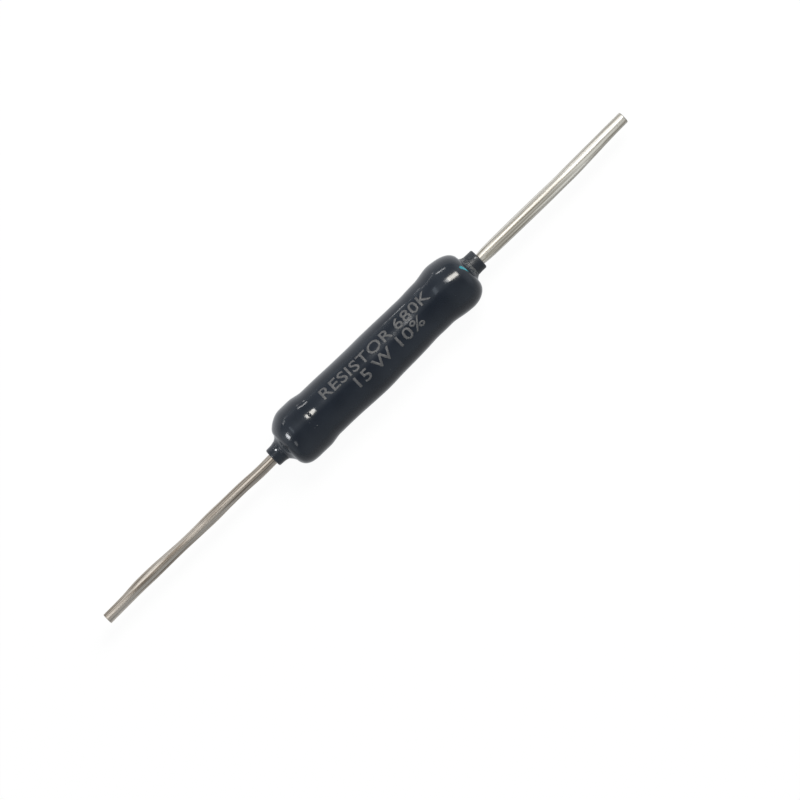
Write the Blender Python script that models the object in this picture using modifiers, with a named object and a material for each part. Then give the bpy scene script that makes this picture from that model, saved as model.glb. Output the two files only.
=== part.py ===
"""Axial high-voltage resistor, lying on its side as it would on a bench.

Frame: X runs along the leads towards the right-hand one, Z is up, and the origin is the
middle of the ceramic core on the lead axis. A ceramic core carries a conductive band at each
end and a resistive film between them, cut into a spiral. A drawn metal cap sits on each band,
a tinned wire is welded to each cap, and one dipped coat covers the lot and runs out along the
wires as two short collars.
"""

import math
from typing import NamedTuple

import bmesh
import bpy
from mathutils import Vector

MM = 0.001

# Facets round a turned piece, and the roundness of a wire
TURNED_SIDES = 36
WIRE_BEVEL_RESOLUTION = 6

# Gap left between faces that touch on the real part
SEAT_GAP = 0.02 * MM

# Ceramic core
CORE_LENGTH = 20.0 * MM
CORE_DIAMETER = 4.0 * MM
CORE_CHAMFER = 0.32 * MM

# Conductive bands fired on the core's ends, reaching a little past the caps
BAND_THICKNESS = 0.06 * MM
BAND_PAST_CAP = 0.4 * MM

# Resistive film, and the spiral groove that turns it into one long track
FILM_THICKNESS = 0.06 * MM
FILM_UNCUT_END = 0.6 * MM
GROOVE_PITCH = 1.2 * MM
GROOVE_WIDTH = 0.3 * MM
GROOVE_OVERCUT = 0.15 * MM
GROOVE_SIDES = 16

# Caps drawn from sheet, pushed over the bands
CAP_SHEET = 0.2 * MM
CAP_DEPTH = 2.5 * MM
CAP_LEAD_IN = 0.08 * MM

# Wire leads, each with the foot that its weld leaves on the cap
WIRE_DIAMETER = 1.0 * MM
WIRE_END_CHAMFER = 0.05 * MM
WELD_FOOT_DIAMETER = 1.5 * MM
WELD_FOOT_HEIGHT = 0.3 * MM
LEFT_WIRE_FREE_LENGTH = 19.7 * MM
RIGHT_WIRE_FREE_LENGTH = 17.28 * MM
WIRE_POINTS = 12

# Coat over the film: its thickness at these shares of the way from the middle to a cap's
# mouth. The dip ran thicker over the left half, and thinnest beside the right-hand cap.
COAT_OVER_FILM = [
    (-1.0, 0.378 * MM),
    (-0.56, 0.369 * MM),
    (-0.35, 0.388 * MM),
    (-0.08, 0.404 * MM),
    (0.1, 0.374 * MM),
    (0.3, 0.345 * MM),
    (0.5, 0.306 * MM),
    (0.65, 0.266 * MM),
    (0.8, 0.302 * MM),
    (1.0, 0.313 * MM),
]

# Coat over each cap's wall. Its step down to the film starts over the cap, with its middle a
# little way before the cap's mouth, on the film.
LEFT_COAT_OVER_CAP = 0.345 * MM
RIGHT_COAT_OVER_CAP = 0.33 * MM
LEFT_STEP_LENGTH = 1.7 * MM
RIGHT_STEP_LENGTH = 1.9 * MM
LEFT_STEP_BEFORE_MOUTH = 0.38 * MM
RIGHT_STEP_BEFORE_MOUTH = 0.05 * MM

# Coat over each cap's floor, and the length over which its shoulder rounds off
LEFT_COAT_OVER_FLOOR = 0.71 * MM
RIGHT_COAT_OVER_FLOOR = 0.6 * MM
LEFT_SHOULDER_LENGTH = 1.8 * MM
RIGHT_SHOULDER_LENGTH = 2.16 * MM
LEFT_SHOULDER_FULLNESS = 1.92
RIGHT_SHOULDER_FULLNESS = 2.2

# Collars that the coat makes where it ends on the wires, each drawn down from its shoulder
# like a meniscus and marked by a fine crease
LEFT_COLLAR_LENGTH = 1.44 * MM
RIGHT_COLLAR_LENGTH = 1.34 * MM
LEFT_COLLAR_DIAMETER = 1.77 * MM
RIGHT_COLLAR_DIAMETER = 1.96 * MM
COLLAR_EDGE_ROUND = 0.15 * MM
LEFT_NECK_RISE = 0.62 * MM
RIGHT_NECK_RISE = 0.3 * MM
LEFT_NECK_REACH = 0.28 * MM
RIGHT_NECK_REACH = 0.2 * MM
CREASE_FROM_SHOULDER = 0.4 * MM
CREASE_WIDTH = 0.08 * MM
CREASE_DEPTH = 0.03 * MM

# The coat hangs off the axis sideways by the second number at each of these places, which
# are shares of the distance from the middle to the shoulder's end
COAT_LEAN = [
    (-1.04, 0.055 * MM),
    (-0.98, -0.11 * MM),
    (-0.94, -0.09 * MM),
    (-0.86, 0.02 * MM),
    (-0.76, 0.03 * MM),
    (-0.64, 0.012 * MM),
    (-0.45, 0.003 * MM),
    (-0.12, -0.082 * MM),
    (0.05, -0.036 * MM),
    (0.3, -0.01 * MM),
    (0.53, 0.056 * MM),
    (0.76, 0.088 * MM),
    (0.86, 0.015 * MM),
    (0.97, 0.03 * MM),
    (1.03, 0.1 * MM),
]

# Hand-bent wires: shares of the free length, and how far to +Y each has strayed there
LEFT_WIRE_BEND = [
    (0.0, 0.0),
    (0.08, -0.04 * MM),
    (0.27, 0.034 * MM),
    (0.49, 0.034 * MM),
    (0.71, 0.043 * MM),
    (0.93, 0.013 * MM),
    (1.0, -0.02 * MM),
]
RIGHT_WIRE_BEND = [
    (0.0, 0.0),
    (0.2, -0.034 * MM),
    (0.5, -0.034 * MM),
    (0.69, 0.0),
    (0.8, 0.08 * MM),
    (0.9, 0.14 * MM),
    (1.0, 0.18 * MM),
]

# Colours are linear, with metallic and roughness
FINISHES = {
    "black_coat": ((0.022, 0.026, 0.034), 0.0, 0.22),
    "tinned_wire": ((0.62, 0.59, 0.54), 1.0, 0.3),
    "plated_cap": ((0.66, 0.65, 0.62), 1.0, 0.25),
    "white_ceramic": ((0.82, 0.80, 0.74), 0.0, 0.55),
    "resistive_glaze": ((0.045, 0.04, 0.038), 0.0, 0.4),
    "silver_band": ((0.72, 0.71, 0.68), 1.0, 0.45),
}

# Radii that follow from the sizes above
CORE_RADIUS = CORE_DIAMETER / 2
BAND_BORE = CORE_RADIUS + SEAT_GAP
BAND_RADIUS = BAND_BORE + BAND_THICKNESS
FILM_RADIUS = BAND_BORE + FILM_THICKNESS
CAP_BORE = BAND_RADIUS + SEAT_GAP
CAP_RADIUS = CAP_BORE + CAP_SHEET
COAT_BORE_AT_CAP = CAP_RADIUS + SEAT_GAP
COAT_BORE_AT_FILM = max(BAND_RADIUS, FILM_RADIUS) + SEAT_GAP
WIRE_RADIUS = WIRE_DIAMETER / 2
COAT_BORE_AT_WIRE = WIRE_RADIUS + SEAT_GAP
FOOT_RADIUS = WELD_FOOT_DIAMETER / 2

# Distances from the middle along the axis
CORE_END = CORE_LENGTH / 2
CAP_MOUTH = CORE_END - CAP_DEPTH
CAP_FLOOR = CORE_END + SEAT_GAP
CAP_FACE = CAP_FLOOR + CAP_SHEET
CAP_CORNER_CENTRE = (CAP_FLOOR - CORE_CHAMFER, CAP_BORE - CORE_CHAMFER)
BAND_START = CAP_MOUTH - BAND_PAST_CAP
BAND_END = CORE_END - CORE_CHAMFER
FILM_END = BAND_START - SEAT_GAP
WELD_PLANE = CAP_FACE + SEAT_GAP


class End(NamedTuple):
    """What differs between the two ends. A left-hand piece is turned half round about Z."""

    name: str
    turn: float
    coat_over_cap: float
    step_length: float
    step_before_mouth: float
    coat_over_floor: float
    shoulder_length: float
    shoulder_fullness: float
    collar_length: float
    collar_diameter: float
    neck_rise: float
    neck_reach: float
    wire_free_length: float
    wire_bend: list

    def outwards(self):
        return round(math.cos(self.turn))

    def bulge_radius(self):
        return COAT_BORE_AT_CAP + self.coat_over_cap

    def step_middle(self):
        return CAP_MOUTH - self.step_before_mouth

    def shoulder_end(self):
        return WELD_PLANE + self.coat_over_floor

    def collar_tip(self):
        return self.shoulder_end() + self.collar_length

    def neck_radius(self, distance):
        """Radius of the collar at a distance from the shoulder's end."""
        return self.collar_diameter / 2 + self.neck_rise * math.exp(-distance / self.neck_reach)


LEFT = End(
    name="left",
    turn=math.pi,
    coat_over_cap=LEFT_COAT_OVER_CAP,
    step_length=LEFT_STEP_LENGTH,
    step_before_mouth=LEFT_STEP_BEFORE_MOUTH,
    coat_over_floor=LEFT_COAT_OVER_FLOOR,
    shoulder_length=LEFT_SHOULDER_LENGTH,
    shoulder_fullness=LEFT_SHOULDER_FULLNESS,
    collar_length=LEFT_COLLAR_LENGTH,
    collar_diameter=LEFT_COLLAR_DIAMETER,
    neck_rise=LEFT_NECK_RISE,
    neck_reach=LEFT_NECK_REACH,
    wire_free_length=LEFT_WIRE_FREE_LENGTH,
    wire_bend=LEFT_WIRE_BEND,
)
RIGHT = End(
    name="right",
    turn=0.0,
    coat_over_cap=RIGHT_COAT_OVER_CAP,
    step_length=RIGHT_STEP_LENGTH,
    step_before_mouth=RIGHT_STEP_BEFORE_MOUTH,
    coat_over_floor=RIGHT_COAT_OVER_FLOOR,
    shoulder_length=RIGHT_SHOULDER_LENGTH,
    shoulder_fullness=RIGHT_SHOULDER_FULLNESS,
    collar_length=RIGHT_COLLAR_LENGTH,
    collar_diameter=RIGHT_COLLAR_DIAMETER,
    neck_rise=RIGHT_NECK_RISE,
    neck_reach=RIGHT_NECK_REACH,
    wire_free_length=RIGHT_WIRE_FREE_LENGTH,
    wire_bend=RIGHT_WIRE_BEND,
)


def clear_scene():
    """Remove whatever the scene holds."""
    for obj in list(bpy.data.objects):
        bpy.data.objects.remove(obj)


def new_collection(name):
    collection = bpy.data.collections.new(name)
    bpy.context.scene.collection.children.link(collection)
    return collection


def make_material(name):
    colour, metallic, roughness = FINISHES[name]
    material = bpy.data.materials.new(name)
    material.use_nodes = True
    shader = material.node_tree.nodes["Principled BSDF"]
    shader.inputs["Base Color"].default_value = (*colour, 1.0)
    shader.inputs["Metallic"].default_value = metallic
    shader.inputs["Roughness"].default_value = roughness
    return material


def place(name, data, collection, assembly, turn=0.0):
    """Put a piece in the assembly, turned about Z."""
    obj = bpy.data.objects.new(name, data)
    collection.objects.link(obj)
    obj.parent = assembly
    obj.rotation_euler = (0.0, 0.0, turn)
    return obj


def evaluated_mesh(obj):
    """The mesh that the object's modifiers give."""
    graph = bpy.context.evaluated_depsgraph_get()
    return bpy.data.meshes.new_from_object(obj.evaluated_get(graph))


def finish_mesh(mesh, material):
    mesh.materials.clear()
    mesh.materials.append(material)
    mesh.shade_smooth()
    mesh.set_sharp_from_angle(angle=math.radians(35))
    return mesh


def arc(centre, radius, start, end, steps):
    """Points (x, r) round an arc. The angles are in degrees, 0 along +X and 90 outwards."""
    points = []
    for step in range(steps + 1):
        angle = math.radians(start + (end - start) * step / steps)
        x = centre[0] + radius * math.cos(angle)
        r = centre[1] + radius * math.sin(angle)
        points.append((x, r))
    return points


def smooth_step(value):
    value = min(max(value, 0.0), 1.0)
    return value * value * (3 - 2 * value)


def slope_at(knots, index):
    before = knots[max(index - 1, 0)]
    after = knots[min(index + 1, len(knots) - 1)]
    return (after[1] - before[1]) / (after[0] - before[0])


def smooth_curve(knots, place):
    """Value at a place on a smooth curve through (place, value) knots, level beyond them."""
    place = min(max(place, knots[0][0]), knots[-1][0])
    index = 1
    while place > knots[index][0]:
        index += 1
    start, before = knots[index - 1]
    stop, after = knots[index]
    span = stop - start
    t = (place - start) / span
    value = before + (after - before) * smooth_step(t)
    value += slope_at(knots, index - 1) * span * t * (1 - t) * (1 - t)
    return value - slope_at(knots, index) * span * t * t * (1 - t)


def mirrored(points):
    """The same outline for the left-hand end, run the other way."""
    return [(-x, r) for x, r in reversed(points)]


def turned_mesh(name, profile, steps=TURNED_SIDES, pitch=0.0, turns=1, closed=True):
    """Turn a profile of (x, r) points about X. Its outer side runs from +X to -X.

    A closed profile makes a ring, and an open one starts and ends on the axis. A pitch makes
    a spiral of that many turns, whose two ends are then filled.
    """
    half_step = math.pi / steps
    points = [
        (x, r * math.sin(half_step), r * math.cos(half_step)) for x, r in profile
    ]
    edges = [(index, index + 1) for index in range(len(points) - 1)]
    if closed:
        edges.append((len(points) - 1, 0))
    mesh = bpy.data.meshes.new(name)
    mesh.from_pydata(points, edges, [])
    blank = bpy.data.objects.new(name, mesh)
    bpy.context.scene.collection.objects.link(blank)
    screw = blank.modifiers.new("Turn", "SCREW")
    screw.axis = "X"
    screw.steps = steps
    screw.render_steps = steps
    screw.iterations = turns
    screw.screw_offset = pitch
    screw.use_merge_vertices = not closed
    screw.merge_threshold = 0.001 * MM
    turned = evaluated_mesh(blank)
    bpy.data.objects.remove(blank)
    shape = bmesh.new()
    shape.from_mesh(turned)
    bmesh.ops.holes_fill(shape, edges=shape.edges, sides=len(profile))
    bmesh.ops.recalc_face_normals(shape, faces=shape.faces)
    shape.to_mesh(turned)
    shape.free()
    return turned


def cut_away(name, mesh, cutter_mesh, resistor, cutters, assembly, material):
    """Place a piece with its cutter taken out of it, and keep the cutter as a hidden guide."""
    piece = place(name, mesh, resistor, assembly)
    cutter = place(cutter_mesh.name, cutter_mesh, cutters, assembly)
    cutter.hide_render = True
    cutter.display_type = "WIRE"
    cut = piece.modifiers.new("Cut", "BOOLEAN")
    cut.operation = "DIFFERENCE"
    cut.object = cutter
    bpy.context.view_layer.update()
    cut_mesh = evaluated_mesh(piece)
    piece.modifiers.remove(cut)
    piece.data = finish_mesh(cut_mesh, material)


def core_profile():
    """Ceramic rod with a chamfer at each end."""
    half = [
        (CORE_END, 0.0),
        (CORE_END, CORE_RADIUS - CORE_CHAMFER),
        (CORE_END - CORE_CHAMFER, CORE_RADIUS),
    ]
    return half + mirrored(half)


def sleeve_profile(start, end, bore, radius):
    return [(end, bore), (end, radius), (start, radius), (start, bore)]


def cap_profile():
    """Drawn cup: its floor, round corner, wall, mouth with a lead-in, and inside."""
    outer_corner = arc(CAP_CORNER_CENTRE, CORE_CHAMFER + CAP_SHEET, 0, 90, 5)
    inner_corner = arc(CAP_CORNER_CENTRE, CORE_CHAMFER, 90, 0, 3)
    mouth = [
        (CAP_MOUTH + CAP_LEAD_IN / 2, CAP_RADIUS),
        (CAP_MOUTH, CAP_RADIUS - CAP_LEAD_IN / 2),
        (CAP_MOUTH, CAP_BORE + CAP_LEAD_IN),
        (CAP_MOUTH + CAP_LEAD_IN, CAP_BORE),
    ]
    outside = [(CAP_FACE, 0.0)] + outer_corner + mouth
    return outside + inner_corner + [(CAP_FLOOR, 0.0)]


def collar_outline(end, neck_points=4):
    """One end of the coat: tip, rounded edge, collar, crease and neck up to the shoulder."""
    tip_radius = end.neck_radius(end.collar_length)
    edge_centre = (end.collar_tip() - COLLAR_EDGE_ROUND, tip_radius - COLLAR_EDGE_ROUND)
    edge = arc(edge_centre, COLLAR_EDGE_ROUND, 0, 90, 3)
    crease_start = CREASE_FROM_SHOULDER + CREASE_WIDTH / 2
    crease_end = CREASE_FROM_SHOULDER - CREASE_WIDTH / 2
    outline = [(end.collar_tip(), 0.0)] + edge
    for distance in ((end.collar_length + crease_start) / 2, crease_start):
        outline.append((end.shoulder_end() + distance, end.neck_radius(distance)))
    crease_radius = end.neck_radius(CREASE_FROM_SHOULDER) - CREASE_DEPTH
    outline.append((end.shoulder_end() + CREASE_FROM_SHOULDER, crease_radius))
    for point in range(neck_points):
        distance = crease_end * (1 - point / (neck_points - 1))
        outline.append((end.shoulder_end() + distance, end.neck_radius(distance)))
    return outline


def shoulder_outline(end, steps=8):
    """The coat's rounded end, from its foot out to the full radius over the cap."""
    foot = end.neck_radius(0.0)
    points = []
    for step in range(1, steps + 1):
        angle = math.pi / 2 * step / steps
        inwards = 1 - math.cos(angle) ** (2 / end.shoulder_fullness)
        rise = math.sin(angle) ** (2 / end.shoulder_fullness)
        x = end.shoulder_end() - end.shoulder_length * inwards
        points.append((x, foot + (end.bulge_radius() - foot) * rise))
    return points


def coat_radius_between_shoulders(x):
    """Outer radius of the coat at x, over the film and up the step on to each cap."""
    end = RIGHT if x > 0 else LEFT
    waist = COAT_BORE_AT_FILM + smooth_curve(COAT_OVER_FILM, x / CAP_MOUTH)
    climb = smooth_step((abs(x) - end.step_middle()) / end.step_length + 0.5)
    return waist + (end.bulge_radius() - waist) * climb


def step_places(end, points=5):
    """Distances from the middle, down the step from the bulge to the waist."""
    outer = end.step_middle() + end.step_length / 2
    return [outer - end.step_length * point / points for point in range(points + 1)]


def middle_outline(waist_points=12):
    """The coat from the right-hand bulge along the waist to the left-hand one."""
    right = step_places(RIGHT)
    left = [-x for x in reversed(step_places(LEFT))]
    waist_length = right[-1] - left[0]
    waist = [right[-1] - waist_length * i / waist_points for i in range(1, waist_points)]
    return [(x, coat_radius_between_shoulders(x)) for x in right + waist + left]


def coat_profile():
    right = collar_outline(RIGHT) + shoulder_outline(RIGHT)
    left = collar_outline(LEFT) + shoulder_outline(LEFT)
    return right + middle_outline() + mirrored(left)


def lean_coat(mesh):
    """Shift the skin sideways, the way the dip hung while it dried."""
    for vertex in mesh.vertices:
        end = RIGHT if vertex.co.x > 0 else LEFT
        vertex.co.y += smooth_curve(COAT_LEAN, vertex.co.x / end.shoulder_end())


def cavity_half(end):
    """Space inside one end of the coat, from past the collar's tip to the cap's mouth."""
    past_tip = end.collar_tip() + end.collar_length
    foot_end = WELD_PLANE + WELD_FOOT_HEIGHT
    foot_bore = FOOT_RADIUS + SEAT_GAP
    corner_radius = CORE_CHAMFER + CAP_SHEET + SEAT_GAP
    return [
        (past_tip, 0.0),
        (past_tip, COAT_BORE_AT_WIRE),
        (foot_end + SEAT_GAP, COAT_BORE_AT_WIRE),
        (foot_end, foot_bore),
        (WELD_PLANE, foot_bore),
        *arc(CAP_CORNER_CENTRE, corner_radius, 0, 90, 3),
        (CAP_MOUTH - SEAT_GAP, COAT_BORE_AT_CAP),
        (CAP_MOUTH - SEAT_GAP, COAT_BORE_AT_FILM),
    ]


def cavity_profile():
    return cavity_half(RIGHT) + mirrored(cavity_half(LEFT))


def film_groove():
    """Spiral cutter, centred on the film and kept off the uncut ring at each of its ends."""
    cut_length = 2 * (FILM_END - FILM_UNCUT_END) - GROOVE_WIDTH
    turns = int(cut_length / GROOVE_PITCH)
    start = -turns * GROOVE_PITCH / 2
    profile = sleeve_profile(
        start - GROOVE_WIDTH / 2,
        start + GROOVE_WIDTH / 2,
        BAND_BORE - GROOVE_OVERCUT,
        FILM_RADIUS + GROOVE_OVERCUT,
    )
    return turned_mesh("spiral_groove", profile, GROOVE_SIDES, GROOVE_PITCH, turns)


def wire_sections(end):
    """(x, y, radius) along a lead, outwards from its weld."""
    sections = [(0.0, 0.0, FOOT_RADIUS), (WELD_FOOT_HEIGHT * 0.2, 0.0, FOOT_RADIUS)]
    for share in (0.35, 0.6, 1.0):
        flare = (FOOT_RADIUS - WIRE_RADIUS) * (1 - share) ** 2
        sections.append((WELD_FOOT_HEIGHT * share, 0.0, WIRE_RADIUS + flare))
    tip = end.collar_tip() - WELD_PLANE
    for point in range(WIRE_POINTS):
        share = point / (WIRE_POINTS - 1)
        y = smooth_curve(end.wire_bend, share) * end.outwards()
        sections.append((tip + end.wire_free_length * share, y, WIRE_RADIUS))
    last = Vector(sections[-1][:2])
    direction = (last - Vector(sections[-2][:2])).normalized()
    sections[-1] = (*(last - direction * WIRE_END_CHAMFER), WIRE_RADIUS)
    sections.append((*last, WIRE_RADIUS - WIRE_END_CHAMFER))
    return sections


def make_lead(end, collection, assembly, material):
    """Tinned wire with its weld foot, as one swept curve."""
    name = "lead_" + end.name
    curve = bpy.data.curves.new(name, "CURVE")
    curve.dimensions = "3D"
    curve.bevel_depth = WIRE_RADIUS
    curve.bevel_resolution = WIRE_BEVEL_RESOLUTION
    curve.use_fill_caps = True
    sections = wire_sections(end)
    spline = curve.splines.new("POLY")
    spline.points.add(len(sections) - 1)
    for point, (x, y, radius) in zip(spline.points, sections):
        point.co = (x, y, 0.0, 1.0)
        point.radius = radius / WIRE_RADIUS
    spline.use_smooth = True
    curve.materials.append(material)
    lead = place(name, curve, collection, assembly, end.turn)
    lead.location = (end.outwards() * WELD_PLANE, 0.0, 0.0)


def build():
    clear_scene()
    resistor = new_collection("high_voltage_resistor")
    cutters = new_collection("cutters")
    assembly = bpy.data.objects.new("resistor_axis", None)
    resistor.objects.link(assembly)
    materials = {name: make_material(name) for name in FINISHES}

    core = turned_mesh("ceramic_core", core_profile(), closed=False)
    finish_mesh(core, materials["white_ceramic"])
    place("ceramic_core", core, resistor, assembly)

    film = turned_mesh(
        "resistive_film", sleeve_profile(-FILM_END, FILM_END, BAND_BORE, FILM_RADIUS)
    )
    groove = film_groove()
    glaze = materials["resistive_glaze"]
    cut_away("resistive_film", film, groove, resistor, cutters, assembly, glaze)

    band = turned_mesh(
        "contact_band", sleeve_profile(BAND_START, BAND_END, BAND_BORE, BAND_RADIUS)
    )
    finish_mesh(band, materials["silver_band"])
    cap = turned_mesh("end_cap", cap_profile(), closed=False)
    finish_mesh(cap, materials["plated_cap"])
    for end in (LEFT, RIGHT):
        place("contact_band_" + end.name, band, resistor, assembly, end.turn)
        place("end_cap_" + end.name, cap, resistor, assembly, end.turn)
        make_lead(end, resistor, assembly, materials["tinned_wire"])

    coat = turned_mesh("coating", coat_profile(), closed=False)
    lean_coat(coat)
    cavity = turned_mesh("coat_cavity", cavity_profile(), closed=False)
    black = materials["black_coat"]
    cut_away("coating", coat, cavity, resistor, cutters, assembly, black)


build()
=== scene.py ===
"""Looks of an axial high-voltage resistor: dipped coat, tinned leads, marking and studio.

Frame: X runs along the leads towards the right-hand one, Z is up, and the origin is the
middle of the ceramic core. Sizes in the classes below are in millimetres.
"""

import logging
import math
import random
from collections.abc import Sequence
from dataclasses import dataclass
from enum import Enum

import bmesh
import bpy
from mathutils import Matrix, Vector
from mathutils.bvhtree import BVHTree

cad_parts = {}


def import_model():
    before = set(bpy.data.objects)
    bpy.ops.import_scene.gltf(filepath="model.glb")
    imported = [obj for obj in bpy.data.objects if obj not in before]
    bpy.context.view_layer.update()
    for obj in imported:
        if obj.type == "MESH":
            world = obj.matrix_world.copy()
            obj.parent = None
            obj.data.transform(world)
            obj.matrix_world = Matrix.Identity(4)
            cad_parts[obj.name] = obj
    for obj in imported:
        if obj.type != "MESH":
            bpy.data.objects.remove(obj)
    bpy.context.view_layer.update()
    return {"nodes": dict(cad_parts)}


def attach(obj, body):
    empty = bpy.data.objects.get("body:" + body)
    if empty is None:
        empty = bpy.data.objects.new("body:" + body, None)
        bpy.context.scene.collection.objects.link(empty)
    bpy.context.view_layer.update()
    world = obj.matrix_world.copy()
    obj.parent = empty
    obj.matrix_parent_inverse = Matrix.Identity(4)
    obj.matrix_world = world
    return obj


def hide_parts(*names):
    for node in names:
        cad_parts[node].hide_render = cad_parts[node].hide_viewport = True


MM = 0.001
BODY = "root"

# Where each cap's floor ends and its wire starts, and how far the weld's foot runs from there
WELD_PLANE = 10.24
WELD_FOOT_LENGTH = 0.3

# Points of a turned skin that lie closer together than this are one
SEAM_GAP = 0.0008

COAT_COLOUR = (0.0117, 0.0155, 0.0235)
COAT_ROUGHNESS = 0.13

Colour = tuple[float, float, float]
Pair = tuple[float, float]
Knots = Sequence[Pair]
Spot = tuple[float, float, float]
Ray = tuple[Vector, Vector, float]
Socket = bpy.types.NodeSocket
Node = bpy.types.Node
NodeTree = bpy.types.NodeTree
Material = bpy.types.Material
Piece = bpy.types.Object

FLOAT = "NodeSocketFloat"
VECTOR = "NodeSocketVector"
WHOLE = "NodeSocketInt"
SHAPE = "NodeSocketGeometry"
MATERIAL = "NodeSocketMaterial"

log = logging.getLogger("resistor")


class Side(Enum):
    """The two ends of the resistor, with the way that each faces along X."""

    LEFT = -1
    RIGHT = 1


class Slot(Enum):
    """Finishes that the record names."""

    COAT = "black_coat"
    WIRE = "tinned_wire"
    CERAMIC = "white_ceramic"
    GLAZE = "resistive_glaze"
    BAND = "silver_band"
    CAP = "plated_cap"


class Lit(Enum):
    """The pieces that a lamp lights."""

    COAT_AND_FLOOR = "coat_and_floor"
    COAT = "coat"
    LEFT_LEAD = "left_lead"
    RIGHT_LEAD = "right_lead"


def smooth_step(value: float) -> float:
    """Ease from 0 to 1, where the value 0 is the start of the ease and 1 its end."""
    value = min(max(value, 0.0), 1.0)
    return value * value * (3 - 2 * value)


def smooth_curve(knots: Knots, place: float) -> float:
    """Read a smooth curve through knots, level beyond them.

    Args:
        knots: Pairs of place and value, in order.
        place: Where to read the curve.

    Returns:
        The curve's value there.
    """

    def slope(index: int) -> float:
        """Slope of the curve at a knot, from the knots beside it.

        Args:
            index: Which knot.

        Returns:
            The slope there.
        """
        before = knots[max(index - 1, 0)]
        after = knots[min(index + 1, len(knots) - 1)]
        return (after[1] - before[1]) / (after[0] - before[0])

    place = min(max(place, knots[0][0]), knots[-1][0])
    index = 1
    while place > knots[index][0]:
        index += 1
    start, low = knots[index - 1]
    stop, high = knots[index]
    span = stop - start
    t = (place - start) / span
    value = low + (high - low) * smooth_step(t)
    value += slope(index - 1) * span * t * (1 - t) * (1 - t)
    return value - slope(index) * span * t * t * (1 - t)


def quarter_arc(centre: Pair, radius: float, steps: int) -> list[Pair]:
    """Points round a quarter of a circle, from its +X side to its outer side.

    Args:
        centre: Centre of the circle, as (x, r).
        radius: Its radius.
        steps: How many pieces the quarter is cut into.

    Returns:
        The points, as (x, r).
    """
    angles = [math.radians(90 * i / steps) for i in range(steps + 1)]
    return [
        (centre[0] + radius * math.cos(angle), centre[1] + radius * math.sin(angle))
        for angle in angles
    ]


def mirrored(points: list[Pair]) -> list[Pair]:
    """The same profile for the other end, run the other way."""
    return [(-x, r) for x, r in reversed(points)]


class Tree:
    """Adds nodes to one tree and joins them."""

    def __init__(self, tree: NodeTree) -> None:
        """Keep the tree that the nodes go into."""
        self.tree = tree

    def feed(self, value: Socket, node: Node, name: str) -> None:
        """Join a socket to a node's input."""
        self.tree.links.new(value, node.inputs[name])

    def add(self, kind: str, values: dict | None = None, **settings: str | NodeTree) -> Node:
        """Add a node.

        Args:
            kind: Blender's name for the kind of node.
            values: What each input gets, by its name or number: a socket or a constant.
            **settings: Properties of the node.

        Returns:
            The new node.
        """
        node = self.tree.nodes.new(kind)
        for name, setting in settings.items():
            setattr(node, name, setting)
        for key, value in (values or {}).items():
            if isinstance(value, Socket):
                self.feed(value, node, key)
            else:
                node.inputs[key].default_value = value
        return node

    def maths(self, operation: str, *values: Socket | float) -> Socket:
        """Result of a Math node on these values."""
        return self.add("ShaderNodeMath", dict(enumerate(values)), operation=operation).outputs[0]

    def vector(self, operation: str, *values: Socket | tuple) -> Node:
        """A Vector Math node on these values."""
        return self.add("ShaderNodeVectorMath", dict(enumerate(values)), operation=operation)

    def join(self, **parts: Socket) -> Socket:
        """A vector from its X, Y and Z."""
        return self.add("ShaderNodeCombineXYZ", parts).outputs[0]

    def split(self, vector: Socket) -> tuple[Socket, Socket, Socket]:
        """The X, Y and Z of a vector."""
        return tuple(self.add("ShaderNodeSeparateXYZ", {0: vector}).outputs)

    def ramp(self, value: Socket, low: float, high: float, to: Pair = (0.0, 1.0)) -> Socket:
        """Map a value from one range to another, eased and held at its ends.

        Args:
            value: The value to map.
            low: What maps to the first result.
            high: What maps to the second result.
            to: The two results.

        Returns:
            The mapped value.
        """
        values = {0: value, 1: low, 2: high, 3: to[0], 4: to[1]}
        node = self.add("ShaderNodeMapRange", values, interpolation_type="SMOOTHSTEP")
        return node.outputs[0]

    def blend(self, share: Socket, first: Socket | Colour, second: Socket | Colour) -> Socket:
        """Blend two colours.

        Args:
            share: Share of the second colour, from 0 to 1.
            first: Colour at a share of 0.
            second: Colour at a share of 1.

        Returns:
            The blend.
        """

        def full(colour: Socket | Colour) -> Socket | tuple:
            """A constant colour with its alpha, or the socket as it is."""
            return colour if isinstance(colour, Socket) else (*colour, 1.0)

        values = {0: share, 6: full(first), 7: full(second)}
        return self.add("ShaderNodeMix", values, data_type="RGBA").outputs[2]

    def levels(self, place: Socket, reach: float, knots: Knots) -> Socket:
        """Read a level that changes with a place, from -reach to +reach.

        Args:
            place: Where to read it.
            reach: The place that stands for a knot at 1.
            knots: Pairs of place and level, in order, with places from -1 to 1.

        Returns:
            The level.
        """
        share = self.maths("MULTIPLY_ADD", place, 0.5 / reach, 0.5)
        ramp = self.add("ShaderNodeValToRGB", {0: share})
        stops = ramp.color_ramp.elements
        while len(stops) < len(knots):
            stops.new(0.5)
        for stop, (side, level) in zip(stops, knots):
            stop.position = side / 2 + 0.5
            stop.color = (level, level, level, 1.0)
        return ramp.outputs[0]

    def noise(
        self, place: Socket, seed: Socket | float, scale: Socket | float, detail: Socket | float
    ) -> Socket:
        """Value of a noise at a place, from about 0 to 1."""
        values = {"Vector": place, "W": seed, "Scale": scale, "Detail": detail}
        return self.add("ShaderNodeTexNoise", values, noise_dimensions="4D").outputs[0]

    def attribute(self, name: str, kind: str = "FLOAT") -> Socket:
        """Read a named attribute of the geometry."""
        node = self.add("GeometryNodeInputNamedAttribute", {"Name": name}, data_type=kind)
        return node.outputs[0]


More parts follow.
